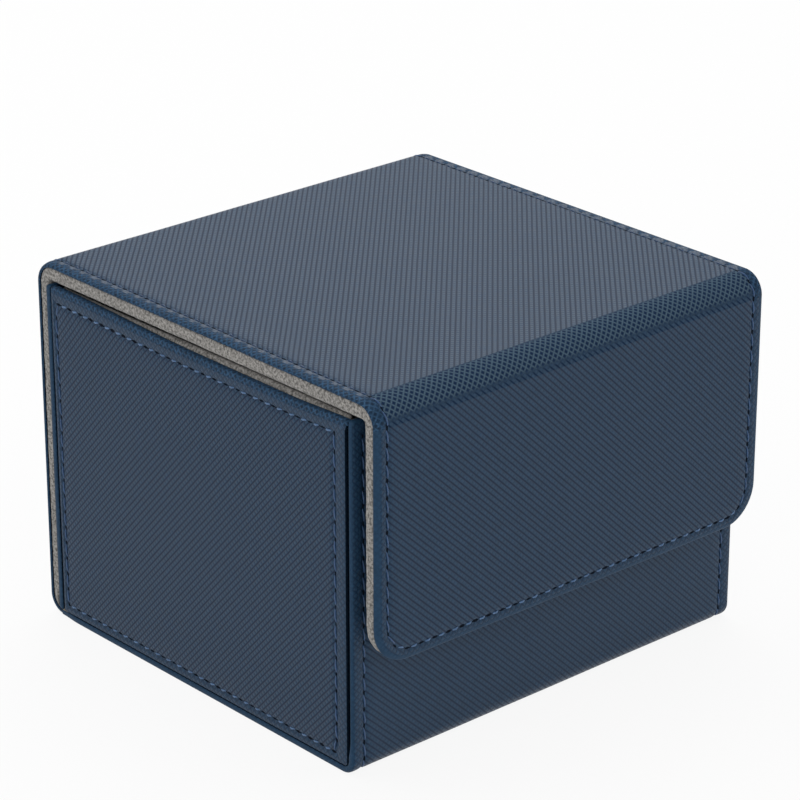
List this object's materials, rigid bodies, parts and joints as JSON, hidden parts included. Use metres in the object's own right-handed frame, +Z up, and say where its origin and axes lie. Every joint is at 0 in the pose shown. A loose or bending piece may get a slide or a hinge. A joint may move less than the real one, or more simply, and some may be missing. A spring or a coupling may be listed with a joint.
{
  "type": "card storage box",
  "caption": "Stitched leather-look card storage box: a padded hinged lid runs on into a hanging front flap, over a lined box with a divider between the rows of cards.",
  "frame": {"origin": "middle of the closed box's underside, on the surface it stands on", "axes": "+X to the right along the front, +Y from the front flap to the back, +Z up"},
  "size_m": [0.1448, 0.1448, 0.11],
  "materials": {
    "outer_leather": "fine embossed lattice, semi-matt",
    "grey_lining": "microfibre nap, matt",
    "board": "raw pressed board",
    "magnet": "plated"
  },
  "bodies": {
    "box": {"front_skin": "outer_leather", "bottom_skin": "outer_leather", "rear_skin": "outer_leather", "left_end_skin": "outer_leather", "right_end_skin": "outer_leather", "back_cover_skin": "outer_leather", "front_lining": "grey_lining", "floor_lining": "grey_lining", "rear_lining": "grey_lining", "left_end_lining": "grey_lining", "right_end_lining": "grey_lining", "divider_lining": "grey_lining", "back_cover_lining": "grey_lining", "front_board": "board", "bottom_board": "board", "rear_board": "board", "left_end_board": "board", "right_end_board": "board", "divider_board": "board", "back_cover_board": "board", "front_magnets": "magnet"},
    "lid": {"lid_skin": "outer_leather", "lid_board": "board", "lid_lining": "grey_lining", "lid_fold_skin": "outer_leather", "lid_fold_lining": "grey_lining"},
    "flap": {"flap_skin": "outer_leather", "flap_board": "board", "flap_lining": "grey_lining", "flap_magnets": "magnet", "flap_fold_skin": "outer_leather", "flap_fold_lining": "grey_lining"}
  },
  "joints": [
    {"name": "lid_hinge", "type": "hinge", "parent": "box", "child": "lid", "pos_m": [0, 0.07115, 0.1087], "axis": [-1, 0, 0], "range_deg": [0, 175], "deforming": ["lid_fold_skin", "lid_fold_lining"]},
    {"name": "flap_hinge", "type": "hinge", "parent": "lid", "child": "flap", "pos_m": [0, -0.07115, 0.1087], "axis": [-1, 0, 0], "range_deg": [-3, 175], "deforming": ["flap_fold_skin", "flap_fold_lining"]}
  ]
}
